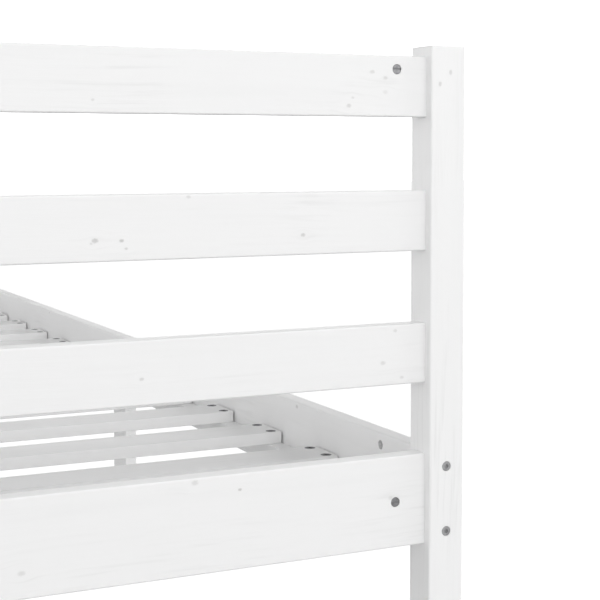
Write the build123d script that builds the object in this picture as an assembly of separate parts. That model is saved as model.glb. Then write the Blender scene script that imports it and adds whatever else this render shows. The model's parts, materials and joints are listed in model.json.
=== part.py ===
"""Bunk bed with a hook-on ladder: two equal single beds in painted pine, one stacked on the other.

Millimetres. +Z is up, the floor is Z = 0, the beds' length runs along Y. The wall side is +X, the ladder
side is -X, the near end is -Y. The origin is under the middle of the whole object, ladder included.
"""
import math
import os

from build123d import *

# ---------------------------------------------------------------- driving dimensions
LENGTH = 2066.0            # over the posts, along Y
WIDTH = 966.0              # over the posts, along X
POST = 40.5                # square corner post
EDGE_R = 2.0               # rounding of the timber's long edges
POST_TOP_R = 1.5           # rounding of a post's top

BOARD_T = 20.0             # side boards, end boards, rails and middle legs
BOARD_H = 95.0             # side boards and end base boards
BOARD_CLEAR = 300.0        # from a bed's feet to the underside of its boards
RAIL_H = 62.0
RAIL_PITCH = 136.6
RAIL_DROP = 10.7           # from the post's top to the top rail's top
RAILS_PER_END = 3
POST_OVER_BOARD = 419.5    # from a board's top to the post's top

SLATS = 13
SLAT_W = 62.0
SLAT_T = 15.0
THIN_EDGE_R = 1.0          # rounding of slats and ledgers
SLAT_PITCH = 156.2
SLAT_DROP = 44.5           # from the side board's top to the slats' top
SLAT_END_GAP = 2.5         # between a slat's end and the side board
LEDGER = 20.0              # square ledger under the slat ends
LEDGER_END_GAP = 1.0
LEG_W = 61.0               # middle leg, along Y

GLIDE_D = 30.0
GLIDE_T = 4.0
GLIDE_EDGE_R = 1.2
LEG_GLIDE_D = 18.0         # narrower glide under a middle leg
GLIDE_NAIL_D = 3.0
GLIDE_NAIL_BORE = 3.2
GLIDE_NAIL_L = 16.0

# fasteners
BOLT_D = 6.0
BOLT_BORE = 6.6
BOLT_HEAD_D = 10.0
BOLT_SEAT = 10.4
BOLT_HEAD_H = 4.0
BOLT_EDGE = 0.5            # chamfer round a bolt's head and a nut's ends
HEX_SOCKET = 4.0
HEX_SOCKET_DEPTH = 1.6
NUT_D = 10.0
NUT_BORE = 10.3
NUT_L = 15.0               # flush with the board's outer face, in a hole right through
NUT_SLOT = 1.6
NUT_SLOT_DEPTH = 1.5
SIDE_NUT_IN = 82.0         # barrel nut's distance from the post, in a side board
END_NUT_IN = 34.5          # the same in an end rail or end board
RAIL_BOLT_DROP = 14.0      # top rail's bolt below the rail's top
SIDE_BOLT_RISE = 34.0      # side bolts above and below the board's middle
BOLT_PAST_NUT = 4.0
BOLT_SPARE = 1.0           # bolt hole beyond the bolt's end
SEAT_SPARE = 0.1           # head seat deeper than the head
DOWEL_D = 8.0
DOWEL_BORE = 8.2
DOWEL_L = 30.0
DOWEL_HOLE = 15.5          # depth of a dowel's hole in each piece
RAIL_DOWEL_RISE = 16.0
END_DOWEL_RISE = 30.0
GUARD_DOWEL_RISE = 20.0
LEG_DOWEL_SPREAD = 18.0
SCREW = (4.5, 9.0, 3.0)    # countersunk: shank diameter, head diameter, head height
SLAT_SCREW = (6.0, 13.0, 4.0)
SCREW_GAP = 0.1            # radial room round a screw
SCREW_SPARE = 0.5          # screw hole beyond the point
SCREW_POINT = 4.0
SCREW_POINT_R = 0.4
RECESS_SPAN = 0.58         # cross recess, as shares of the head's diameter and height
RECESS_WIDTH = 0.13
RECESS_DEPTH = 0.6
SLAT_SCREW_L = 30.0
SLAT_SCREW_IN = 10.5       # from the slat's end
SLAT_SCREW_SPREAD = 21.5   # from the slat's middle line
LEDGER_SCREW_L = 34.0
PIN_D = 12.0
PIN_BORE = 12.3
PIN_END_GAP = 1.0          # room beyond each end of a pin
PIN_L = 90.0
PIN_CHAMFER = 1.0
PIN_CROSS_AT = 24.7        # cross holes from the pin's middle
LOCK_SCREW_L = 34.0

# guard on the ladder side of the upper bed
GUARD_RAIL_LEVELS = (1, 2)     # the end rails whose height the guard rails share, counted from the top
LADDER_OPENING = 400.0         # clear width between the near post and the first upright
UPRIGHT_W = 62.0
UPRIGHT_OVER = 12.0            # upright's top above the upper guard rail
UPRIGHT_TOP_R = 12.0
GUARD_SCREW_L = 34.0
GUARD_SCREW_SPREAD = 16.0

# ladder
LEAN = 8.0                     # degrees from upright
LADDER_GAP = 1.0               # between the stiles and the side board's outer face, at the board's top
STILE_DEPTH = 62.0             # across the slope
STILE_T = 20.0                 # along Y
LADDER_W = 360.0               # over the stiles
STILE_OVER_BOARD = 150.0       # stile's top above the side board's top
STILE_TOP_R = 18.0
TREADS = 4
TREAD_DEPTH = 60.0
TREAD_T = 20.0
TREAD_HOUSING = 8.0            # how far a tread goes into a stile
TREAD_SCREW_L = 45.0
TREAD_SCREW_SPREAD = 16.0
HOOK_T = 3.0                   # bent steel strip
HOOK_W = 17.0                  # strip's width, along Y
HOOK_GAP = 0.75                # hook to side board, all round
HOOK_DROP = 30.0               # beak below the board's top
HOOK_RISE = 85.0               # screwed plate's top above the board's top
HOOK_BEND_R = 1.5              # inside radius of the bends
HOOK_SCREW_L = 34.0
HOOK_SCREWS_AT = (24.0, 68.0)  # heights above the board's top

# ---------------------------------------------------------------- worked out from them
UNIT_H = BOARD_CLEAR + BOARD_H + POST_OVER_BOARD
LOWER_Z = GLIDE_T
UPPER_Z = LOWER_Z + UNIT_H
BOARD_TOP = BOARD_CLEAR + BOARD_H          # heights within one bed
BOARD_MID = BOARD_CLEAR + BOARD_H / 2
TAN_LEAN = math.tan(math.radians(LEAN))
COS_LEAN = math.cos(math.radians(LEAN))
SIN_LEAN = math.sin(math.radians(LEAN))

POST_X = WIDTH / 2 - POST / 2              # post, side board and rail centre lines, from the bed's middle
POST_Y = LENGTH / 2 - POST / 2
POST_IN_X = WIDTH / 2 - POST
POST_IN_Y = LENGTH / 2 - POST
BOARD_OUT_X = POST_X + BOARD_T / 2
BOARD_IN_X = POST_X - BOARD_T / 2
END_RAIL_L = 2 * POST_IN_X
SIDE_BOARD_L = 2 * POST_IN_Y
SLAT_L = 2 * (BOARD_IN_X - SLAT_END_GAP)
SLAT_TOP = BOARD_TOP - SLAT_DROP
LEDGER_TOP = SLAT_TOP - SLAT_T
LEDGER_X = BOARD_IN_X - LEDGER / 2

UPPER_BOARD_TOP = UPPER_Z + BOARD_TOP
STILE_ACROSS = STILE_DEPTH / COS_LEAN      # level width of a slanted stile
STILE_TOP_Z = UPPER_BOARD_TOP + STILE_OVER_BOARD


def stile_inner_x(z):
    """X of the stiles' inner edge at height z, measured from the bed's middle line."""
    return -(BOARD_OUT_X + LADDER_GAP) - (UPPER_BOARD_TOP - z) * TAN_LEAN


# the ladder stands out on one side, so the bed's middle line is off the object's middle
BED_X = (-(stile_inner_x(0) - STILE_ACROSS) - WIDTH / 2) / 2
NEAR_STILE_Y = -POST_IN_Y + (LADDER_OPENING - LADDER_W) / 2 + STILE_T / 2
FAR_STILE_Y = NEAR_STILE_Y + LADDER_W - STILE_T
LADDER_Y = (NEAR_STILE_Y + FAR_STILE_Y) / 2

UPRIGHT_YS = (-POST_IN_Y + LADDER_OPENING + UPRIGHT_W / 2, LENGTH / 8)
GUARD_RAIL_L = POST_IN_Y - (UPRIGHT_YS[0] - UPRIGHT_W / 2)

SIDES = {"wall": 1, "ladder": -1}
ENDS = {"near": -1, "far": 1}
BEDS = {"lower": LOWER_Z, "upper": UPPER_Z}

parts = {}


def add(name, shape):
    """Keep a shape, given about the bed's middle line, as one node."""
    parts[name] = Pos(BED_X, 0, 0) * shape


def group(name, solids):
    """Keep several separate solids as one node."""
    add(name, Compound(children=list(solids)))


# ---------------------------------------------------------------- small shapes
def stick(x, y, z, radius=EDGE_R):
    """Square-section timber about its centre, with every long edge rounded."""
    block = Box(x, y, z)
    long_axis = max(((x, Axis.X), (y, Axis.Y), (z, Axis.Z)), key=lambda item: item[0])[1]
    return fillet(block.edges().filter_by(long_axis), radius)


def hole(diameter, length, at, along):
    """Cylinder that starts at a point and runs a length along a direction."""
    plane = Plane(origin=at, z_dir=along)
    return plane * Pos(0, 0, length / 2) * Cylinder(diameter / 2, length)


def countersunk_hole(length, at, along, kind=SCREW):
    """Screw hole with a countersunk mouth at a point."""
    shank_d, head_d, head_h = kind
    plane = Plane(origin=at, z_dir=along)
    shank = Pos(0, 0, length / 2) * Cylinder(shank_d / 2 + SCREW_GAP, length)
    mouth = Cone(head_d / 2 + SCREW_GAP, shank_d / 2 + SCREW_GAP, head_h)
    return plane * (shank + Pos(0, 0, head_h / 2) * mouth)


def screw_hole(length, at, along, kind=SCREW):
    """Straight hole for a screw's shank, a little deeper than the screw."""
    return hole(kind[0] + 2 * SCREW_GAP, length + SCREW_SPARE, at, along)


def make_screw(length, kind=SCREW):
    """Countersunk screw with a cross recess, head at the origin, point along +Z."""
    shank_d, head_d, head_h = kind
    straight = length - SCREW_POINT - head_h
    body = Pos(0, 0, head_h / 2) * Cone(head_d / 2, shank_d / 2, head_h)
    body += Pos(0, 0, head_h + straight / 2) * Cylinder(shank_d / 2, straight)
    body += Pos(0, 0, length - SCREW_POINT / 2) * Cone(shank_d / 2, SCREW_POINT_R, SCREW_POINT)
    recess = Box(RECESS_SPAN * head_d, RECESS_WIDTH * head_d, 2 * RECESS_DEPTH * head_h)
    for turn in (0, 90):
        body -= Rot(0, 0, turn) * recess
    return body


def make_bolt(length):
    """Joint bolt with a flush round head and a hex socket, head at the origin, running along +Z."""
    head = Pos(0, 0, BOLT_HEAD_H / 2) * Cylinder(BOLT_HEAD_D / 2, BOLT_HEAD_H)
    head = chamfer(head.edges().sort_by(Axis.Z)[0], BOLT_EDGE)
    shank = Pos(0, 0, (BOLT_HEAD_H + length) / 2) * Cylinder(BOLT_D / 2, length - BOLT_HEAD_H)
    socket = extrude(RegularPolygon(HEX_SOCKET / 2, 6, major_radius=False), HEX_SOCKET_DEPTH)
    return head + shank - socket


def make_barrel_nut():
    """Cross-dowel nut from its slotted outer end at the origin, running along +Z."""
    nut = Pos(0, 0, NUT_L / 2) * Cylinder(NUT_D / 2, NUT_L)
    nut = chamfer(nut.edges().filter_by(GeomType.CIRCLE), BOLT_EDGE)
    nut -= Pos(0, 0, BOARD_T / 2) * Rot(0, 90, 0) * Cylinder(BOLT_BORE / 2, 2 * NUT_D)
    return nut - Box(2 * NUT_D, NUT_SLOT, 2 * NUT_SLOT_DEPTH)


def placed(shape, at, along, x_dir=None):
    """Move a shape from the origin to a point, its +Z turned along a direction."""
    return Plane(origin=at, x_dir=x_dir, z_dir=along) * shape


def rail_mid(level):
    """Height of an end rail's middle within one bed; level 0 is the top rail."""
    return UNIT_H - RAIL_DROP - level * RAIL_PITCH - RAIL_H / 2


def post_centre(side, end):
    return SIDES[side] * POST_X, ENDS[end] * POST_Y


# ---------------------------------------------------------------- where the fasteners go
def end_bolts(side, end):
    """Bolts through a post into the end's top rail and base board: (head point, run, nut point)."""
    s, (x, y) = SIDES[side], post_centre(side, end)
    for z in (rail_mid(0) + RAIL_H / 2 - RAIL_BOLT_DROP, BOARD_MID):
        head = (s * WIDTH / 2, y, z)
        nut = (s * (POST_IN_X - END_NUT_IN), y, z)
        yield head, (-s, 0, 0), nut


def side_bolts(side, end):
    """Bolts through a post into the side board's end: (head point, run, nut point)."""
    e, (x, y) = ENDS[end], post_centre(side, end)
    for rise in (-SIDE_BOLT_RISE, SIDE_BOLT_RISE):
        head = (x, e * LENGTH / 2, BOARD_MID + rise)
        nut = (x, e * (POST_IN_Y - SIDE_NUT_IN), BOARD_MID + rise)
        yield head, (0, -e, 0), nut


def guard_bolts():
    """Bolts through the far ladder-side post into the guard rails, in the upper bed."""
    x, y = post_centre("ladder", "far")
    for level in GUARD_RAIL_LEVELS:
        yield (x, LENGTH / 2, rail_mid(level)), (0, -1, 0), (x, POST_IN_Y - SIDE_NUT_IN, rail_mid(level))


def end_dowels(side, end):
    """Dowels between a post and the end's rails and base board: (middle point, direction)."""
    s, (x, y) = SIDES[side], post_centre(side, end)
    yield (s * POST_IN_X, y, rail_mid(0) - RAIL_DOWEL_RISE), (s, 0, 0)
    for level in range(1, RAILS_PER_END):
        for rise in (-RAIL_DOWEL_RISE, RAIL_DOWEL_RISE):
            yield (s * POST_IN_X, y, rail_mid(level) + rise), (s, 0, 0)
    for rise in (-END_DOWEL_RISE, END_DOWEL_RISE):
        yield (s * POST_IN_X, y, BOARD_MID + rise), (s, 0, 0)


def side_dowels(side, end):
    """Dowel between a post and the side board's end."""
    x, y = post_centre(side, end)
    yield (x, ENDS[end] * POST_IN_Y, BOARD_MID), (0, ENDS[end], 0)


def guard_dowels():
    """Dowels between the far ladder-side post and the guard rails."""
    x, y = post_centre("ladder", "far")
    for level in GUARD_RAIL_LEVELS:
        for rise in (-GUARD_DOWEL_RISE, GUARD_DOWEL_RISE):
            yield (x, POST_IN_Y, rail_mid(level) + rise), (0, 1, 0)


def leg_dowels(side):
    """Dowels between a side board's lower edge and the middle leg."""
    for y in (-LEG_DOWEL_SPREAD, LEG_DOWEL_SPREAD):
        yield (SIDES[side] * POST_X, y, BOARD_CLEAR), (0, 0, 1)


def slat_ys():
    return [(i - (SLATS - 1) / 2) * SLAT_PITCH for i in range(SLATS)]


def slat_screw_xys(y):
    for side in SIDES.values():
        for offset in (-SLAT_SCREW_SPREAD, SLAT_SCREW_SPREAD):
            yield side * (SLAT_L / 2 - SLAT_SCREW_IN), y + offset


def ledger_screw_ys():
    """Ledger screws stand midway between slats, in every second space from each end."""
    steps = [i + 0.5 for i in range(SLATS // 2) if i % 2]
    return [side * step * SLAT_PITCH for step in steps for side in (-1, 1)]


def upright_screws():
    """Screws through the guard uprights into the side board and the guard rails, in the upper bed."""
    x = -(BOARD_OUT_X + BOARD_T)
    for y in UPRIGHT_YS:
        for z in (BOARD_MID - GUARD_SCREW_SPREAD, BOARD_MID + GUARD_SCREW_SPREAD):
            yield (x, y - GUARD_SCREW_SPREAD, z), (1, 0, 0)
            yield (x, y + GUARD_SCREW_SPREAD, z), (1, 0, 0)
        for level in GUARD_RAIL_LEVELS:
            for offset in (-GUARD_SCREW_SPREAD, GUARD_SCREW_SPREAD):
                yield (x, y + offset, rail_mid(level) + offset), (1, 0, 0)


def lock_screw(side, end, height):
    """Screw across a post end and its stacking pin, driven from the post's outer face."""
    s, (x, y) = SIDES[side], post_centre(side, end)
    return (s * WIDTH / 2, y, height), (-s, 0, 0)


# ---------------------------------------------------------------- timber
def bolt_cut(head, run, nut):
    """Everything a bolt and its nut take out of the timber."""
    reach = math.dist(head, nut) + BOLT_PAST_NUT + BOLT_SPARE
    seat = hole(BOLT_SEAT, BOLT_HEAD_H + SEAT_SPARE, head, run)
    return hole(BOLT_BORE, reach, head, run) + seat


def post(bed, side, end):
    x, y = post_centre(side, end)
    body = Pos(x, y, UNIT_H / 2) * stick(POST, POST, UNIT_H)
    body = fillet(body.edges().group_by(Axis.Z)[-1], POST_TOP_R)
    cuts = [bolt_cut(*b) for b in list(end_bolts(side, end)) + list(side_bolts(side, end))]
    dowels = list(end_dowels(side, end)) + list(side_dowels(side, end))
    if (bed, side, end) == ("upper", "ladder", "far"):
        cuts += [bolt_cut(*b) for b in guard_bolts()]
        dowels += list(guard_dowels())
    cuts += [hole(DOWEL_BORE, DOWEL_HOLE, at, run) for at, run in dowels]
    if bed == "lower":
        cuts.append(hole(PIN_BORE, PIN_L / 2 + PIN_END_GAP, (x, y, UNIT_H), (0, 0, -1)))
        cuts.append(hole(GLIDE_NAIL_BORE, GLIDE_NAIL_L + SCREW_SPARE, (x, y, 0), (0, 0, 1)))
    else:
        cuts.append(hole(PIN_BORE, PIN_L / 2 + PIN_END_GAP, (x, y, 0), (0, 0, 1)))
        cuts.append(countersunk_hole(LOCK_SCREW_L + SCREW_SPARE, *lock_screw(side, end, PIN_CROSS_AT)))
    for cut in cuts:
        body -= cut
    return body


def end_piece(end, height, mid, nut_z=None, dowel_zs=()):
    """Rail or base board between the two posts of an end."""
    y = ENDS[end] * POST_Y
    body = Pos(0, y, mid) * stick(END_RAIL_L, BOARD_T, height)
    for s in SIDES.values():
        for z in dowel_zs:
            body -= hole(DOWEL_BORE, DOWEL_HOLE, (s * POST_IN_X, y, z), (-s, 0, 0))
        if nut_z is not None:
            reach = END_NUT_IN + BOLT_PAST_NUT + BOLT_SPARE
            body -= hole(BOLT_BORE, reach, (s * POST_IN_X, y, nut_z), (-s, 0, 0))
            face = (s * (POST_IN_X - END_NUT_IN), y + ENDS[end] * BOARD_T / 2, nut_z)
            body -= hole(NUT_BORE, BOARD_T, face, (0, -ENDS[end], 0))
    return body


def end_rail(end, level):
    mid = rail_mid(level)
    if level == 0:
        return end_piece(end, RAIL_H, mid, mid + RAIL_H / 2 - RAIL_BOLT_DROP, (mid - RAIL_DOWEL_RISE,))
    return end_piece(end, RAIL_H, mid, None, (mid - RAIL_DOWEL_RISE, mid + RAIL_DOWEL_RISE))


def base_board(end):
    dowel_zs = (BOARD_MID - END_DOWEL_RISE, BOARD_MID + END_DOWEL_RISE)
    return end_piece(end, BOARD_H, BOARD_MID, BOARD_MID, dowel_zs)


def side_board(side):
    s, x = SIDES[side], SIDES[side] * POST_X
    body = Pos(x, 0, BOARD_MID) * stick(BOARD_T, SIDE_BOARD_L, BOARD_H)
    for end in ENDS:
        for _, run, nut in side_bolts(side, end):
            start = (x, ENDS[end] * POST_IN_Y, nut[2])
            body -= hole(BOLT_BORE, SIDE_NUT_IN + BOLT_PAST_NUT + BOLT_SPARE, start, run)
            body -= hole(NUT_BORE, BOARD_T, (s * BOARD_IN_X, nut[1], nut[2]), (s, 0, 0))
        for at, run in side_dowels(side, end):
            body -= hole(DOWEL_BORE, DOWEL_HOLE, at, (0, -run[1], 0))
    for at, run in leg_dowels(side):
        body -= hole(DOWEL_BORE, DOWEL_HOLE, at, run)
    for y in ledger_screw_ys():
        start = (s * BOARD_IN_X, y, LEDGER_TOP - LEDGER / 2)
        body -= screw_hole(LEDGER_SCREW_L - LEDGER, start, (s, 0, 0))
    return body


def upper_ladder_board():
    body = side_board("ladder")
    for at, run in upright_screws():
        if at[2] < BOARD_TOP:
            body -= screw_hole(GUARD_SCREW_L - BOARD_T, (-BOARD_OUT_X, at[1], at[2]), run)
    return body


def ledger(side):
    s, mid = SIDES[side], LEDGER_TOP - LEDGER / 2
    length = SIDE_BOARD_L - 2 * LEDGER_END_GAP
    body = Pos(s * LEDGER_X, 0, mid) * stick(LEDGER, length, LEDGER, THIN_EDGE_R)
    for y in ledger_screw_ys():
        body -= countersunk_hole(LEDGER, (s * (LEDGER_X - LEDGER / 2), y, mid), (s, 0, 0))
    for y in slat_ys():
        for x, screw_y in slat_screw_xys(y):
            if x * s > 0:
                top = (x, screw_y, LEDGER_TOP)
                body -= screw_hole(SLAT_SCREW_L - SLAT_T, top, (0, 0, -1), SLAT_SCREW)
    return body


def middle_leg(bed, side):
    x = SIDES[side] * POST_X
    body = Pos(x, 0, BOARD_CLEAR / 2) * stick(BOARD_T, LEG_W, BOARD_CLEAR)
    for at, _ in leg_dowels(side):
        body -= hole(DOWEL_BORE, DOWEL_HOLE, at, (0, 0, -1))
    if bed == "lower":
        body -= hole(GLIDE_NAIL_BORE, GLIDE_NAIL_L + SCREW_SPARE, (x, 0, 0), (0, 0, 1))
    return body


def slats():
    """Thirteen equal slats, each screwed down at both ends."""
    one = Pos(0, 0, SLAT_TOP - SLAT_T / 2) * stick(SLAT_L, SLAT_W, SLAT_T, THIN_EDGE_R)
    for x, y in slat_screw_xys(0):
        one -= countersunk_hole(SLAT_T, (x, y, SLAT_TOP), (0, 0, -1), SLAT_SCREW)
    return [Pos(0, y, 0) * one for y in slat_ys()]


# ---------------------------------------------------------------- guard
def guard_rail(level):
    x, mid = -POST_X, rail_mid(level)
    body = Pos(x, POST_IN_Y - GUARD_RAIL_L / 2, mid) * stick(BOARD_T, GUARD_RAIL_L, RAIL_H)
    for _, run, nut in guard_bolts():
        if nut[2] == mid:
            reach = SIDE_NUT_IN + BOLT_PAST_NUT + BOLT_SPARE
            body -= hole(BOLT_BORE, reach, (x, POST_IN_Y, mid), run)
            body -= hole(NUT_BORE, BOARD_T, (-BOARD_IN_X, nut[1], mid), (-1, 0, 0))
    for at, _ in guard_dowels():
        if abs(at[2] - mid) < RAIL_H / 2:
            body -= hole(DOWEL_BORE, DOWEL_HOLE, at, (0, -1, 0))
    for at, run in upright_screws():
        if abs(at[2] - mid) < RAIL_H / 2:
            body -= screw_hole(GUARD_SCREW_L - BOARD_T, (-BOARD_OUT_X, at[1], at[2]), run)
    return body


def guard_upright(y):
    """Upright outside the side board and guard rails, with rounded top corners."""
    top = rail_mid(GUARD_RAIL_LEVELS[0]) + RAIL_H / 2 + UPRIGHT_OVER
    height = top - BOARD_CLEAR
    outline = Rectangle(UPRIGHT_W, height)
    outline = fillet(outline.vertices().group_by(Axis.Y)[-1], UPRIGHT_TOP_R)
    body = extrude(Plane.YZ * outline, BOARD_T / 2, both=True)
    body = fillet(body.faces().sort_by(Axis.X)[0].edges(), EDGE_R)
    body = Pos(-(BOARD_OUT_X + BOARD_T / 2), y, BOARD_CLEAR + height / 2) * body
    for at, run in upright_screws():
        if abs(at[1] - y) < UPRIGHT_W / 2:
            body -= countersunk_hole(BOARD_T, at, run)
    return body


# ---------------------------------------------------------------- ladder
def tread_height(index):
    """Top of a tread; the treads and the side board's top stand at one equal pitch."""
    return UPPER_BOARD_TOP * (index + 1) / (TREADS + 1)


def tread_x(z):
    return stile_inner_x(z) - STILE_ACROSS / 2


def tread_screws():
    for index in range(TREADS):
        z = tread_height(index) - TREAD_T / 2
        for offset in (-TREAD_SCREW_SPREAD, TREAD_SCREW_SPREAD):
            yield (tread_x(z) + offset, NEAR_STILE_Y - STILE_T / 2, z), (0, 1, 0)
            yield (tread_x(z) + offset, FAR_STILE_Y + STILE_T / 2, z), (0, -1, 0)


def stile(y, inward):
    """Slanted stile with a level foot, a rounded top and a housing for each tread."""
    outline = make_face(Polyline(
        (stile_inner_x(0) - STILE_ACROSS, 0),
        (stile_inner_x(0), 0),
        (stile_inner_x(STILE_TOP_Z), STILE_TOP_Z),
        (stile_inner_x(STILE_TOP_Z) - STILE_ACROSS, STILE_TOP_Z),
        close=True))
    outline = fillet(outline.vertices().group_by(Axis.Y)[-1], STILE_TOP_R)
    body = extrude(Plane.XZ * outline, STILE_T / 2, both=True)
    faces = body.faces().filter_by(Axis.Y)
    body = fillet([edge for face in faces for edge in face.edges()], EDGE_R)
    body = Pos(0, y, 0) * body
    inner_y = y + inward * STILE_T / 2
    for index in range(TREADS):
        z = tread_height(index) - TREAD_T / 2
        body -= Pos(tread_x(z), inner_y, z) * Box(TREAD_DEPTH, 2 * TREAD_HOUSING, TREAD_T)
    for at, run in tread_screws():
        if run[1] == inward:
            body -= countersunk_hole(STILE_T, at, run)
    for (x, _, z), run in hook_screws(y):
        edge = (x - HOOK_T * COS_LEAN, y, z + HOOK_T * SIN_LEAN)
        body -= screw_hole(HOOK_SCREW_L - HOOK_T, edge, run)
    return body


def tread(index):
    z = tread_height(index) - TREAD_T / 2
    length = LADDER_W - 2 * STILE_T + 2 * TREAD_HOUSING
    body = Pos(tread_x(z), LADDER_Y, z) * stick(TREAD_DEPTH, length, TREAD_T)
    for at, run in tread_screws():
        if abs(at[2] - z) < TREAD_T:
            start = at[1] + run[1] * (STILE_T - TREAD_HOUSING)
            body -= screw_hole(TREAD_SCREW_L - STILE_T + TREAD_HOUSING, (at[0], start, at[2]), run)
    return body


def hook_screws(y):
    """Screws of one hook, square to the stile's inner edge: (head point on the strip, run)."""
    for rise in HOOK_SCREWS_AT:
        z = UPPER_BOARD_TOP + rise
        yield (stile_inner_x(z) + HOOK_T / COS_LEAN, y, z), (-COS_LEAN, 0, SIN_LEAN)


def hook(y):
    """Bent steel strip: screwed to the stile's inner edge, over the side board and down behind it."""
    top = UPPER_BOARD_TOP + HOOK_RISE
    arm = UPPER_BOARD_TOP + HOOK_GAP
    beak = UPPER_BOARD_TOP - HOOK_DROP
    behind = -BOARD_IN_X + HOOK_GAP
    across = HOOK_T / COS_LEAN
    plate_bend = (stile_inner_x(arm + HOOK_T) + across, arm + HOOK_T)
    arm_heel = (stile_inner_x(arm), arm)
    beak_bend = (behind + HOOK_T, arm + HOOK_T)
    beak_inside = (behind, arm)
    outline = make_face(Polyline(
        (stile_inner_x(top), top), (stile_inner_x(top) + across, top), plate_bend, beak_bend,
        (behind + HOOK_T, beak), (behind, beak), beak_inside, arm_heel, close=True))
    for corner, radius in (
            (plate_bend, HOOK_BEND_R), (beak_inside, HOOK_BEND_R),
            (arm_heel, HOOK_BEND_R + HOOK_T), (beak_bend, HOOK_BEND_R + HOOK_T)):
        outline = fillet(outline.vertices().sort_by_distance((*corner, 0))[0], radius)
    strip = Pos(0, y, 0) * extrude(Plane.XZ * outline, HOOK_W / 2, both=True)
    for at, run in hook_screws(y):
        strip -= countersunk_hole(HOOK_T + SCREW_SPARE, at, run)
    return strip


# ---------------------------------------------------------------- the whole bed
def bed_fasteners():
    """Bolts, nuts, dowels and screws of both beds, each kind as one group."""
    bolts, nuts, dowels, slat_screws, ledger_screws = [], [], [], [], []
    slat_screw, ledger_screw = make_screw(SLAT_SCREW_L, SLAT_SCREW), make_screw(LEDGER_SCREW_L)
    end_bolt = make_bolt(POST + END_NUT_IN + BOLT_PAST_NUT)
    side_bolt = make_bolt(POST + SIDE_NUT_IN + BOLT_PAST_NUT)
    nut_body = make_barrel_nut()
    dowel = Cylinder(DOWEL_D / 2, DOWEL_L)
    for base in BEDS.values():
        lift = Pos(0, 0, base)
        for side in SIDES:
            s = SIDES[side]
            for end in ENDS:
                e = ENDS[end]
                for head, run, nut in end_bolts(side, end):
                    bolts.append(lift * placed(end_bolt, head, run))
                    at = (nut[0], e * (POST_Y + BOARD_T / 2), nut[2])
                    nuts.append(lift * placed(nut_body, at, (0, -e, 0), (1, 0, 0)))
                for head, run, nut in side_bolts(side, end):
                    bolts.append(lift * placed(side_bolt, head, run))
                    at = (s * BOARD_OUT_X, nut[1], nut[2])
                    nuts.append(lift * placed(nut_body, at, (-s, 0, 0), (0, 1, 0)))
                for at, run in list(end_dowels(side, end)) + list(side_dowels(side, end)):
                    dowels.append(lift * placed(dowel, at, run))
            for at, run in leg_dowels(side):
                dowels.append(lift * placed(dowel, at, run))
            for y in ledger_screw_ys():
                at = (s * (LEDGER_X - LEDGER / 2), y, LEDGER_TOP - LEDGER / 2)
                ledger_screws.append(lift * placed(ledger_screw, at, (s, 0, 0)))
        for y in slat_ys():
            for x, screw_y in slat_screw_xys(y):
                slat_screws.append(lift * placed(slat_screw, (x, screw_y, SLAT_TOP), (0, 0, -1)))
    lift = Pos(0, 0, UPPER_Z)
    for head, run, nut in guard_bolts():
        bolts.append(lift * placed(side_bolt, head, run))
        nuts.append(lift * placed(nut_body, (-BOARD_OUT_X, nut[1], nut[2]), (1, 0, 0), (0, 1, 0)))
    for at, run in guard_dowels():
        dowels.append(lift * placed(dowel, at, run))
    group("frame_bolts", bolts)
    group("barrel_nuts", nuts)
    group("dowels", dowels)
    group("slat_screws", slat_screws)
    group("ledger_screws", ledger_screws)


def stacking():
    """Steel pins between the beds, held by a bolt below and a locking screw above."""
    pin = Cylinder(PIN_D / 2, PIN_L)
    pin = chamfer(pin.edges().filter_by(GeomType.CIRCLE), PIN_CHAMFER)
    for z in (-PIN_CROSS_AT, PIN_CROSS_AT):
        pin -= Pos(0, 0, z) * Rot(0, 90, 0) * Cylinder(BOLT_BORE / 2, 2 * PIN_D)
    lock = make_screw(LOCK_SCREW_L)
    pins, locks = [], []
    for side in SIDES:
        for end in ENDS:
            x, y = post_centre(side, end)
            pins.append(Pos(x, y, UPPER_Z) * pin)
            locks.append(placed(lock, *lock_screw(side, end, UPPER_Z + PIN_CROSS_AT)))
    group("stacking_pins", pins)
    group("pin_locking_screws", locks)


def glides():
    """Nailed glides under the lower posts and the lower middle legs."""
    nail = Pos(0, 0, GLIDE_T + GLIDE_NAIL_L / 2) * Cylinder(GLIDE_NAIL_D / 2, GLIDE_NAIL_L)
    kinds = []
    for diameter in (GLIDE_D, LEG_GLIDE_D):
        disc = Pos(0, 0, GLIDE_T / 2) * Cylinder(diameter / 2, GLIDE_T)
        kinds.append(fillet(disc.edges().sort_by(Axis.Z)[0], GLIDE_EDGE_R) + nail)
    post_places = [post_centre(side, end) for side in SIDES for end in ENDS]
    leg_places = [(s * POST_X, 0) for s in SIDES.values()]
    solids = [Pos(x, y, 0) * kinds[0] for x, y in post_places]
    solids += [Pos(x, y, 0) * kinds[1] for x, y in leg_places]
    group("floor_glides", solids)


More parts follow.
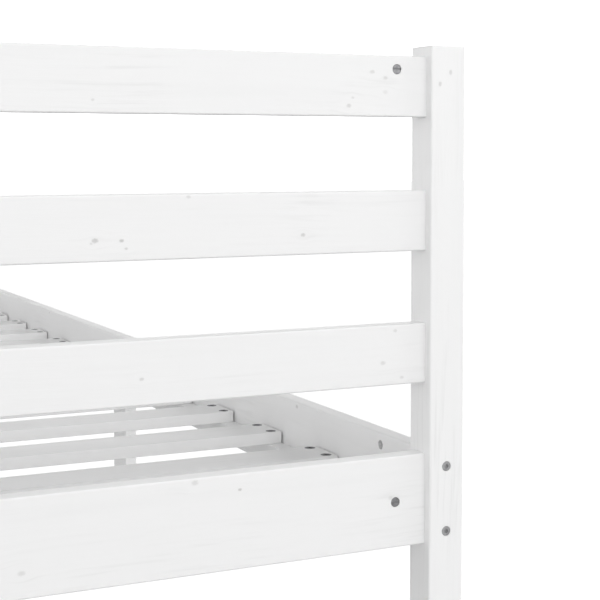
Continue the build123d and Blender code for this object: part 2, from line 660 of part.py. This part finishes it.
def build():
    for bed, base in BEDS.items():
        lift = Pos(0, 0, base)
        for side in SIDES:
            for end in ENDS:
                add(f"{bed}_post_{side}_{end}", lift * post(bed, side, end))
            board = upper_ladder_board() if (bed, side) == ("upper", "ladder") else side_board(side)
            add(f"{bed}_side_board_{side}", lift * board)
            add(f"{bed}_ledger_{side}", lift * ledger(side))
            add(f"{bed}_middle_leg_{side}", lift * middle_leg(bed, side))
        for end in ENDS:
            add(f"{bed}_base_board_{end}", lift * base_board(end))
            for level in range(RAILS_PER_END):
                add(f"{bed}_end_rail_{end}_{level + 1}", lift * end_rail(end, level))
        group(f"{bed}_slats", [lift * slat for slat in slats()])
    lift = Pos(0, 0, UPPER_Z)
    for number, level in enumerate(GUARD_RAIL_LEVELS, 1):
        add(f"guard_rail_{number}", lift * guard_rail(level))
    for number, y in enumerate(UPRIGHT_YS, 1):
        add(f"guard_upright_{number}", lift * guard_upright(y))
    screw = make_screw(GUARD_SCREW_L)
    group("guard_screws", [lift * placed(screw, at, run) for at, run in upright_screws()])
    bed_fasteners()
    stacking()
    glides()
    add("ladder_stile_near", stile(NEAR_STILE_Y, 1))
    add("ladder_stile_far", stile(FAR_STILE_Y, -1))
    for index in range(TREADS):
        add(f"ladder_tread_{index + 1}", tread(index))
    group("ladder_hooks", [hook(NEAR_STILE_Y), hook(FAR_STILE_Y)])
    screw = make_screw(TREAD_SCREW_L)
    group("ladder_screws", [placed(screw, at, run) for at, run in tread_screws()])
    screw = make_screw(HOOK_SCREW_L)
    stile_ys = (NEAR_STILE_Y, FAR_STILE_Y)
    group("ladder_hook_screws", [placed(screw, at, run) for y in stile_ys for at, run in hook_screws(y)])


build()
os.makedirs("parts", exist_ok=True)
for node, shape in parts.items():
    export_step(shape, f"parts/{node}.step")
print(len(parts), "nodes")
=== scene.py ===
"""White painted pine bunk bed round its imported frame: materials, floor, light and camera. Metres."""
import json
import math
import random

import bpy
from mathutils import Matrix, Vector


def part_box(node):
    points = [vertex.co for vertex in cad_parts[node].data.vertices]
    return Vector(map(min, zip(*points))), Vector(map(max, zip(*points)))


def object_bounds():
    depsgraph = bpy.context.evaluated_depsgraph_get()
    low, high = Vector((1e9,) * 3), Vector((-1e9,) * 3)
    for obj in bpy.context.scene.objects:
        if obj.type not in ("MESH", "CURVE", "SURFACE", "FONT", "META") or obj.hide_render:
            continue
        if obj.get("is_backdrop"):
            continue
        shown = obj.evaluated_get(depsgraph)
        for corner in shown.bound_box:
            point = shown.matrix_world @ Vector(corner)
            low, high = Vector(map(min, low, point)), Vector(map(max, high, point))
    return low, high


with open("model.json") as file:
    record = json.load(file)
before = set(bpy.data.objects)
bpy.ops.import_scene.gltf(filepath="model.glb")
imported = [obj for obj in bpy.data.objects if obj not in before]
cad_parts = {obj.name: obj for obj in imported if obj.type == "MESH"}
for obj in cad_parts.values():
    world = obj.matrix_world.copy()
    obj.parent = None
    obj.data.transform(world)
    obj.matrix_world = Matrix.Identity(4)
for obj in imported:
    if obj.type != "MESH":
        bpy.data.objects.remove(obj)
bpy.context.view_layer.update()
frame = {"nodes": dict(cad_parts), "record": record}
nodes = frame["nodes"]

# ---------------------------------------------------------------- camera
SENSOR = 36.0                        # mm, width
LENS = 84.31                         # mm
SHIFT_UP = -0.12                     # half of the view's drop is shift, which keeps the posts near upright
CAMERA_YAW = math.radians(-25.80)    # from +Y towards +X
CAMERA_PITCH = math.radians(-3.137)
CAMERA_FROM_POST = Vector((-0.7428, -1.2300, -0.1071))   # from the near wall post's inner front top corner
CLIP_NEAR, CLIP_FAR = 0.05, 200.0


def make_camera():
    """Camera by the near end, looking past the upper wall post."""
    low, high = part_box("upper_post_wall_near")
    data = bpy.data.cameras.new("camera")
    data.sensor_width = SENSOR
    data.lens = LENS
    data.shift_y = SHIFT_UP
    data.clip_start, data.clip_end = CLIP_NEAR, CLIP_FAR
    camera = bpy.data.objects.new("camera", data)
    camera.location = Vector((low.x, low.y, high.z)) + CAMERA_FROM_POST
    camera.rotation_euler = (math.radians(90) + CAMERA_PITCH, 0, CAMERA_YAW)
    bpy.context.scene.collection.objects.link(camera)
    bpy.context.scene.camera = camera


# ---------------------------------------------------------------- material helpers
class Graph:
    """A material's node tree, with short calls for the nodes used here."""

    def __init__(self, name):
        self.material = bpy.data.materials.new(name)
        self.material.use_nodes = True
        self.tree = self.material.node_tree
        self.shader = self.tree.nodes["Principled BSDF"]

    def node(self, kind, inputs=None, **settings):
        """A new node with its properties set and its inputs filled."""
        made = self.tree.nodes.new(kind)
        for key, value in settings.items():
            setattr(made, key, value)
        for key, value in (inputs or {}).items():
            self.put(made.inputs[key], value)
        return made

    def put(self, socket, value):
        """Link an output to a socket, or set the socket's constant."""
        if isinstance(value, bpy.types.NodeSocket):
            self.tree.links.new(value, socket)
        else:
            socket.default_value = value

    def math(self, operation, a, b=0.0, c=0.0, clamp=False):
        """Result of one operation on up to three numbers."""
        made = self.node("ShaderNodeMath", operation=operation, use_clamp=clamp)
        for socket, value in zip(made.inputs, (a, b, c)):
            self.put(socket, value)
        return made.outputs[0]

    def vector(self, operation, a, b=None, scale=None):
        """Result of one vector operation: a number for a length or dot product, else a vector."""
        made = self.node("ShaderNodeVectorMath", operation=operation)
        self.put(made.inputs[0], a)
        if b is not None:
            self.put(made.inputs[1], b)
        if scale is not None:
            self.put(made.inputs["Scale"], scale)
        return made.outputs["Value"] if operation in ("LENGTH", "DOT_PRODUCT") else made.outputs[0]

    def noise(self, at, scale, detail=2.0, roughness=0.5):
        """Noise between 0 and 1."""
        made = self.node("ShaderNodeTexNoise", {"Vector": at, "Scale": scale, "Detail": detail,
                                                "Roughness": roughness})
        return made.outputs["Fac"]

    def remap(self, value, low, high, to_low=0.0, to_high=1.0):
        """Smooth step of a value from one range to another."""
        made = self.node("ShaderNodeMapRange", {"Value": value, "From Min": low, "From Max": high,
                                                "To Min": to_low, "To Max": to_high})
        made.interpolation_type = "SMOOTHSTEP"
        return made.outputs["Result"]

    def blend(self, factor, a, b):
        """Colour a at factor 0, b at factor 1."""
        made = self.node("ShaderNodeMix", data_type="RGBA")
        self.put(made.inputs["Factor"], factor)
        self.put(made.inputs["A"], a)
        self.put(made.inputs["B"], b)
        return made.outputs["Result"]

    def bump(self, height, strength, distance, under=None):
        """Normal bent by a height, on top of another bump's normal if one is given."""
        made = self.node("ShaderNodeBump", {"Height": height, "Strength": strength, "Distance": distance})
        if under is not None:
            self.put(made.inputs["Normal"], under)
        return made.outputs["Normal"]


def assign(node, material):
    """Give a CAD node one material on all its slots."""
    slots = nodes[node].data.materials
    if not slots:
        slots.append(material)
    for index in range(len(slots)):
        slots[index] = material


# ---------------------------------------------------------------- painted pine
PAINT = (0.885, 0.885, 0.885, 1)
PAINT_STREAK = (0.770, 0.770, 0.768, 1)
PAINT_KNOT = (0.47, 0.465, 0.455, 1)
PAINT_SPECULAR = 0.45
ROUGH_LOW, ROUGH_HIGH = 0.38, 0.52
STREAK_SHOWN = 0.55        # how much of a streak the paint lets through
BAND_SHARE = 0.20          # what the broad bands add to the fine lines
FAINT_GRAIN = 0.12         # how much grain shows outside the patches
LINE_RAMP = (0.50, 0.74)   # noise values between which each one fades in
BAND_RAMP = (0.50, 0.75)
PATCH_RAMP = (0.48, 0.72)
ROUGH_RAMP = (0.2, 0.8)
FIBRE_RELIEF = (0.22, 0.0003)      # bump strength, and height in metres
LINE_RELIEF = (0.30, 0.0005)
BRUSH_RELIEF = (0.10, 0.0002)

GRAIN_SQUEEZE = 0.05       # along the board the noise is stretched by one over this
FIBRE_SCALE = 650.0        # noise scales, per metre
LINE_SCALE = 210.0
BAND_SCALE = 38.0
PATCH_SCALE = 6.0          # where the grain shows through more
BRUSH_SCALE = 900.0
WANDER_SCALE = 2.2
WANDER = 0.03              # metres that the grain drifts sideways
NOISE_MIDDLE = (0.5, 0.5, 0.5)

KNOT_OVAL = 0.30           # distance along the board counts this much less, so knots are oval
KNOT_REACH = 5.0           # grain bends round a knot within this many radii
KNOT_PUSH = 0.85
KNOT_NEAR = 0.8            # how strongly the grain shows beside a knot
KNOT_RAMP = (0.7, 1.5)     # radii between which a knot's dark heart fades out
RAGGED_SCALE = 520.0
RAGGED = 0.7               # radii by which a knot's edge is uneven


def across_grain(graph, offset, direction):
    """Part of an offset that runs along the grain, and the rest of it."""
    run = graph.vector("SCALE", direction, scale=graph.vector("DOT_PRODUCT", offset, direction))
    return run, graph.vector("SUBTRACT", offset, run)


def along_grain(graph, place, direction):
    """Coordinates squeezed along the board, so noise in them runs with the grain."""
    run, across = across_grain(graph, place, direction)
    return graph.vector("ADD", across, graph.vector("SCALE", run, scale=GRAIN_SQUEEZE))


def knot(graph, place, direction, centre, radius):
    """One knot: (distance in radii, push that bends the grain round it)."""
    run, across = across_grain(graph, graph.vector("SUBTRACT", place, centre), direction)
    oval = graph.vector("ADD", across, graph.vector("SCALE", run, scale=1 - KNOT_OVAL))
    distance = graph.math("DIVIDE", graph.vector("LENGTH", oval), radius)
    push = graph.remap(distance, 0.0, KNOT_REACH, KNOT_PUSH, 0.0)
    return distance, graph.vector("SCALE", across, scale=push)


def painted_pine(name, direction, knots=()):
    """White satin paint with the pine's grain and small knots just showing through."""
    graph = Graph(name)
    place = graph.node("ShaderNodeTexCoord").outputs["Object"]
    ragged = graph.math("MULTIPLY", graph.noise(place, RAGGED_SCALE), RAGGED)
    bent, dark, near = place, 0.0, 0.0
    for centre, radius, darkness in knots:
        distance, push = knot(graph, place, direction, centre, radius)
        bent = graph.vector("SUBTRACT", bent, push)
        heart = graph.remap(graph.math("ADD", distance, ragged), *KNOT_RAMP, darkness, 0.0)
        dark = graph.math("MAXIMUM", heart, dark)
        near = graph.math("MAXIMUM", graph.remap(distance, 1.0, 2 * KNOT_REACH, KNOT_NEAR, 0.0), near)

    drift = graph.node("ShaderNodeTexNoise", {"Vector": place, "Scale": WANDER_SCALE, "Detail": 1.0})
    drift = graph.vector("SUBTRACT", drift.outputs["Color"], NOISE_MIDDLE)
    wander = graph.vector("SCALE", drift, scale=WANDER)
    grain = along_grain(graph, graph.vector("ADD", bent, wander), direction)
    fibre = graph.noise(grain, FIBRE_SCALE, roughness=0.6)
    lines = graph.noise(grain, LINE_SCALE, detail=3.0, roughness=0.55)
    bands = graph.noise(grain, BAND_SCALE)
    patches = graph.noise(place, PATCH_SCALE)

    shown = graph.math("MAXIMUM", graph.remap(patches, *PATCH_RAMP, FAINT_GRAIN, 1.0), near)
    streak = graph.math("MULTIPLY", graph.remap(lines, *LINE_RAMP), shown)
    streak = graph.math("MULTIPLY_ADD", graph.remap(bands, *BAND_RAMP), BAND_SHARE, streak, clamp=True)
    colour = graph.blend(graph.math("MULTIPLY", streak, STREAK_SHOWN), PAINT, PAINT_STREAK)
    if knots:
        colour = graph.blend(dark, colour, PAINT_KNOT)
    graph.put(graph.shader.inputs["Base Color"], colour)
    graph.shader.inputs["Specular IOR Level"].default_value = PAINT_SPECULAR
    graph.put(graph.shader.inputs["Roughness"], graph.remap(bands, *ROUGH_RAMP, ROUGH_LOW, ROUGH_HIGH))

    relief = graph.bump(fibre, *FIBRE_RELIEF)
    relief = graph.bump(lines, *LINE_RELIEF, relief)
    relief = graph.bump(graph.noise(place, BRUSH_SCALE, detail=1.0), *BRUSH_RELIEF, relief)
    graph.put(graph.shader.inputs["Normal"], relief)
    return graph.material


def lengthways(node):
    """Unit vector of a node's longest side."""
    low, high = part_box(node)
    size = high - low
    axis = max(range(3), key=lambda k: size[k])
    return tuple(1.0 if k == axis else 0.0 for k in range(3))


# Knots on the boards seen closest: share along, share across, radius in metres, darkness. Most shares were
# worked out by a scratch program from places picked by eye; all the rest is chosen by hand.
FRONT_KNOTS = {
    "upper_end_rail_near_1": [
        (0.601, 0.20, 0.0015, 0.30), (0.899, 0.17, 0.0024, 0.40), (0.904, 0.30, 0.0015, 0.30),
        (0.929, 0.72, 0.0024, 0.35), (0.946, 0.63, 0.0022, 0.35), (0.946, 0.40, 0.0025, 0.20)],
    "upper_end_rail_near_2": [
        (0.598, 0.28, 0.0014, 0.30), (0.602, 0.32, 0.0027, 0.60), (0.631, 0.31, 0.0019, 0.65),
        (0.636, 0.19, 0.0015, 0.45), (0.706, 0.95, 0.0020, 0.30), (0.842, 0.32, 0.0022, 0.50)],
    "upper_end_rail_near_3": [
        (0.652, 0.41, 0.0020, 0.40), (0.960, 0.90, 0.0020, 0.30), (0.944, 0.38, 0.0025, 0.35),
        (0.969, 0.12, 0.0020, 0.30)],
    "upper_base_board_near": [
        (0.712, 0.95, 0.0030, 0.30), (0.765, 0.83, 0.0017, 0.60), (0.521, 0.26, 0.0030, 0.30),
        (0.955, 0.55, 0.0024, 0.25)],
    "upper_post_wall_near": [(0.967, 0.56, 0.0023, 0.40), (0.952, 0.25, 0.0023, 0.40)],
}


def front_knots(node):
    """Knots on a board's near face, from their shares along and across it."""
    low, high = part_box(node)
    size = high - low
    upright = size.z > size.x
    knots = []
    for along, across, radius, darkness in FRONT_KNOTS[node]:
        x, z = (across, along) if upright else (along, across)
        knots.append(((low.x + size.x * x, low.y, low.z + size.z * z), radius, darkness))
    return knots


KNOTS_PER_BOARD = 4
KNOTS_PER_SLAT_SET = 12
KNOT_RADIUS = (0.0015, 0.0032)
KNOT_DARKNESS = (0.25, 0.60)


def seeded_knots(node, count):
    """A few knots at seeded places on a board's two broad faces."""
    low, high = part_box(node)
    size = high - low
    thin = min(range(3), key=lambda k: size[k])
    dice = random.Random(node)
    knots = []
    for _ in range(count):
        centre = [dice.uniform(low[k], high[k]) for k in range(3)]
        centre[thin] = dice.choice((low[thin], high[thin]))
        knots.append((tuple(centre), dice.uniform(*KNOT_RADIUS), dice.uniform(*KNOT_DARKNESS)))
    return knots


STILE_LEAN = math.radians(8)      # the ladder's lean, top towards +X


def paint_timber():
    """One material for each timber node, its grain along that piece's length."""
    slots = {part["node"]: part["material_slot"] for part in frame["record"]["subparts"]}
    for node in sorted(nodes):
        if slots[node] != "painted_pine":
            continue
        direction = lengthways(node)
        count = KNOTS_PER_BOARD
        if node.startswith("ladder_stile"):
            direction = (math.sin(STILE_LEAN), 0.0, math.cos(STILE_LEAN))
        elif node.endswith("_slats"):
            direction = (1.0, 0.0, 0.0)
            count = KNOTS_PER_SLAT_SET
        knots = front_knots(node) if node in FRONT_KNOTS else seeded_knots(node, count)
        assign(node, painted_pine("pine_" + node, direction, knots))


# ---------------------------------------------------------------- metal, beech, plastic
STEEL_BLOTCH_SCALE = 260.0
STEEL_SCRATCH_SCALE = 1400.0
STEEL_DARKENED = 0.72      # the zinc's dull patches, as a share of its colour
STEEL_COLOUR_RAMP = (0.35, 0.7)
STEEL_ROUGH_RAMP = (0.3, 0.7)
STEEL_SMOOTHER, STEEL_ROUGHER = 0.08, 0.12      # either side of the roughness asked for
STEEL_SCRATCH = 0.12       # bump strength
FINE_RELIEF = 0.0002       # metres

BEECH_PALE = (0.62, 0.44, 0.27, 1)
BEECH_DARK = (0.48, 0.31, 0.17, 1)
BEECH_ROUGH = 0.7
FLECK_SCALE = 900.0
FLECK_RAMP = (0.4, 0.7)
FLECK_RELIEF = 0.2

PLASTIC_PALE = (0.70, 0.70, 0.69, 1)
PLASTIC_DARK = (0.62, 0.62, 0.61, 1)
PLASTIC_ROUGH = 0.55
GRIT_SCALE = 1500.0
GRIT_RAMP = (0.3, 0.7)
GRIT_RELIEF = 0.15


def steel(name, colour, roughness):
    """Zinc-plated steel with dull patches and fine scratches."""
    graph = Graph(name)
    place = graph.node("ShaderNodeTexCoord").outputs["Object"]
    blotch = graph.noise(place, STEEL_BLOTCH_SCALE, detail=3.0)
    dark = tuple(channel * STEEL_DARKENED for channel in colour[:3]) + (1,)
    mottled = graph.blend(graph.remap(blotch, *STEEL_COLOUR_RAMP), colour, dark)
    uneven = graph.remap(blotch, *STEEL_ROUGH_RAMP, roughness - STEEL_SMOOTHER, roughness + STEEL_ROUGHER)
    scratches = graph.noise(place, STEEL_SCRATCH_SCALE)
    graph.put(graph.shader.inputs["Base Color"], mottled)
    graph.shader.inputs["Metallic"].default_value = 1.0
    graph.put(graph.shader.inputs["Roughness"], uneven)
    graph.put(graph.shader.inputs["Normal"], graph.bump(scratches, STEEL_SCRATCH, FINE_RELIEF))
    return graph.material


def beech():
    """Bare beech of the dowels."""
    graph = Graph("beech")
    place = graph.node("ShaderNodeTexCoord").outputs["Object"]
    fleck = graph.noise(along_grain(graph, place, (1, 0, 0)), FLECK_SCALE)
    colour = graph.blend(graph.remap(fleck, *FLECK_RAMP), BEECH_PALE, BEECH_DARK)
    graph.put(graph.shader.inputs["Base Color"], colour)
    graph.shader.inputs["Roughness"].default_value = BEECH_ROUGH
    graph.put(graph.shader.inputs["Normal"], graph.bump(fleck, FLECK_RELIEF, FINE_RELIEF))
    return graph.material


def glide_plastic():
    """Slightly grainy moulded plastic of the floor glides."""
    graph = Graph("glide_plastic")
    place = graph.node("ShaderNodeTexCoord").outputs["Object"]
    grit = graph.noise(place, GRIT_SCALE)
    colour = graph.blend(graph.remap(grit, *GRIT_RAMP), PLASTIC_PALE, PLASTIC_DARK)
    graph.put(graph.shader.inputs["Base Color"], colour)
    graph.shader.inputs["Roughness"].default_value = PLASTIC_ROUGH
    graph.put(graph.shader.inputs["Normal"], graph.bump(grit, GRIT_RELIEF, FINE_RELIEF))
    return graph.material


def finish_hardware():
    """Steel, beech and plastic on their nodes."""
    bolt = steel("bolt_steel", (0.50, 0.50, 0.51, 1), 0.42)
    nut = steel("nut_steel", (0.34, 0.34, 0.35, 1), 0.45)
    screw = steel("screw_steel", (0.25, 0.25, 0.26, 1), 0.45)
    hook = steel("hook_steel", (0.60, 0.60, 0.61, 1), 0.36)
    for node in ("frame_bolts", "stacking_pins"):
        assign(node, bolt)
    assign("barrel_nuts", nut)
    for node in ("slat_screws", "ledger_screws", "guard_screws", "pin_locking_screws",
                 "ladder_screws", "ladder_hook_screws"):
        assign(node, screw)
    assign("ladder_hooks", hook)
    assign("dowels", beech())
    assign("floor_glides", glide_plastic())


# ---------------------------------------------------------------- floor and light
FLOOR_HALF = 60.0                        # metres
FLOOR_SEEN = (0.90, 0.90, 0.90, 1)
FLOOR_GLOW = 0.6                         # lifts the floor that the camera sees to plain white
FLOOR_BOUNCE = (0.72, 0.72, 0.72, 1)     # the floor throws less light up than its pale look would
ZENITH_LIGHT = 0.18        # the studio is dimmer overhead, so the slats lie in soft shade
HORIZON_EXTRA = 2.03       # more light low down, falling off with a power of one minus the height
HORIZON_FALL = 2.0
TARGET_RISE = 0.75         # share of the height that both softboxes point at
KEY_POWER = 104.0
KEY_SIZE = 4.0
KEY_FROM = Vector((0.6, -4.0, 4.2))      # from above the near end
SIDE_POWER = 20.0
SIDE_SIZE = 0.9
SIDE_FROM = Vector((3.6, -0.9, 1.9))     # low on the wall side, so the side board shades the slat ends


def make_floor():
    """A white floor to the camera, and a plain grey one to the light."""
    corners = [(x * FLOOR_HALF, y * FLOOR_HALF, 0) for x, y in ((-1, -1), (1, -1), (1, 1), (-1, 1))]
    mesh = bpy.data.meshes.new("floor")
    mesh.from_pydata(corners, [], [(0, 1, 2, 3)])
    floor = bpy.data.objects.new("floor", mesh)
    bpy.context.scene.collection.objects.link(floor)
    graph = Graph("floor_white")
    graph.shader.inputs["Base Color"].default_value = FLOOR_SEEN
    graph.shader.inputs["Roughness"].default_value = 0.9
    graph.shader.inputs["Specular IOR Level"].default_value = 0.0
    graph.shader.inputs["Emission Color"].default_value = (1, 1, 1, 1)
    graph.shader.inputs["Emission Strength"].default_value = FLOOR_GLOW
    bounce = graph.node("ShaderNodeBsdfDiffuse", {"Color": FLOOR_BOUNCE})
    path = graph.node("ShaderNodeLightPath")
    mix = graph.node("ShaderNodeMixShader", {"Fac": path.outputs["Is Camera Ray"]})
    graph.put(mix.inputs[1], bounce.outputs[0])
    graph.put(mix.inputs[2], graph.shader.outputs[0])
    graph.put(graph.tree.nodes["Material Output"].inputs["Surface"], mix.outputs[0])
    mesh.materials.append(graph.material)
    floor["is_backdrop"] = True


def area_light(name, place, target, size, power):
    """A square softbox facing its target."""
    data = bpy.data.lights.new(name, "AREA")
    data.shape = "SQUARE"
    data.size = size
    data.energy = power
    light = bpy.data.objects.new(name, data)
    light.location = place
    light.rotation_euler = (Vector(target) - Vector(place)).to_track_quat("-Z", "Y").to_euler()
    bpy.context.scene.collection.objects.link(light)


def make_light():
    """A white studio, brightest at the horizon, with a big front softbox and a small side one."""
    world = bpy.data.worlds.new("studio")
    bpy.context.scene.world = world
    world.use_nodes = True
    tree = world.node_tree
    background = tree.nodes["Background"]
    background.inputs["Color"].default_value = (1, 1, 1, 1)
    direction = tree.nodes.new("ShaderNodeTexCoord")
    height = tree.nodes.new("ShaderNodeSeparateXYZ")
    tree.links.new(direction.outputs["Generated"], height.inputs[0])
    socket = height.outputs["Z"]
    steps = (("MAXIMUM", (None, 0.0)),
             ("SUBTRACT", (1.0, None)),
             ("POWER", (None, HORIZON_FALL)),
             ("MULTIPLY_ADD", (None, HORIZON_EXTRA, ZENITH_LIGHT)))      # None takes the step before
    for operation, values in steps:
        step = tree.nodes.new("ShaderNodeMath")
        step.operation = operation
        for entry, value in zip(step.inputs, values):
            if value is None:
                tree.links.new(socket, entry)
            else:
                entry.default_value = value
        socket = step.outputs[0]
    tree.links.new(socket, background.inputs["Strength"])
    low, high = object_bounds()
    target = Vector(((low.x + high.x) / 2, low.y, high.z * TARGET_RISE))
    area_light("front_softbox", target + KEY_FROM, target, KEY_SIZE, KEY_POWER)
    area_light("side_softbox", target + SIDE_FROM, target, SIDE_SIZE, SIDE_POWER)


make_camera()
paint_timber()
finish_hardware()
make_floor()
make_light()
bpy.context.scene.view_settings.view_transform = "Standard"
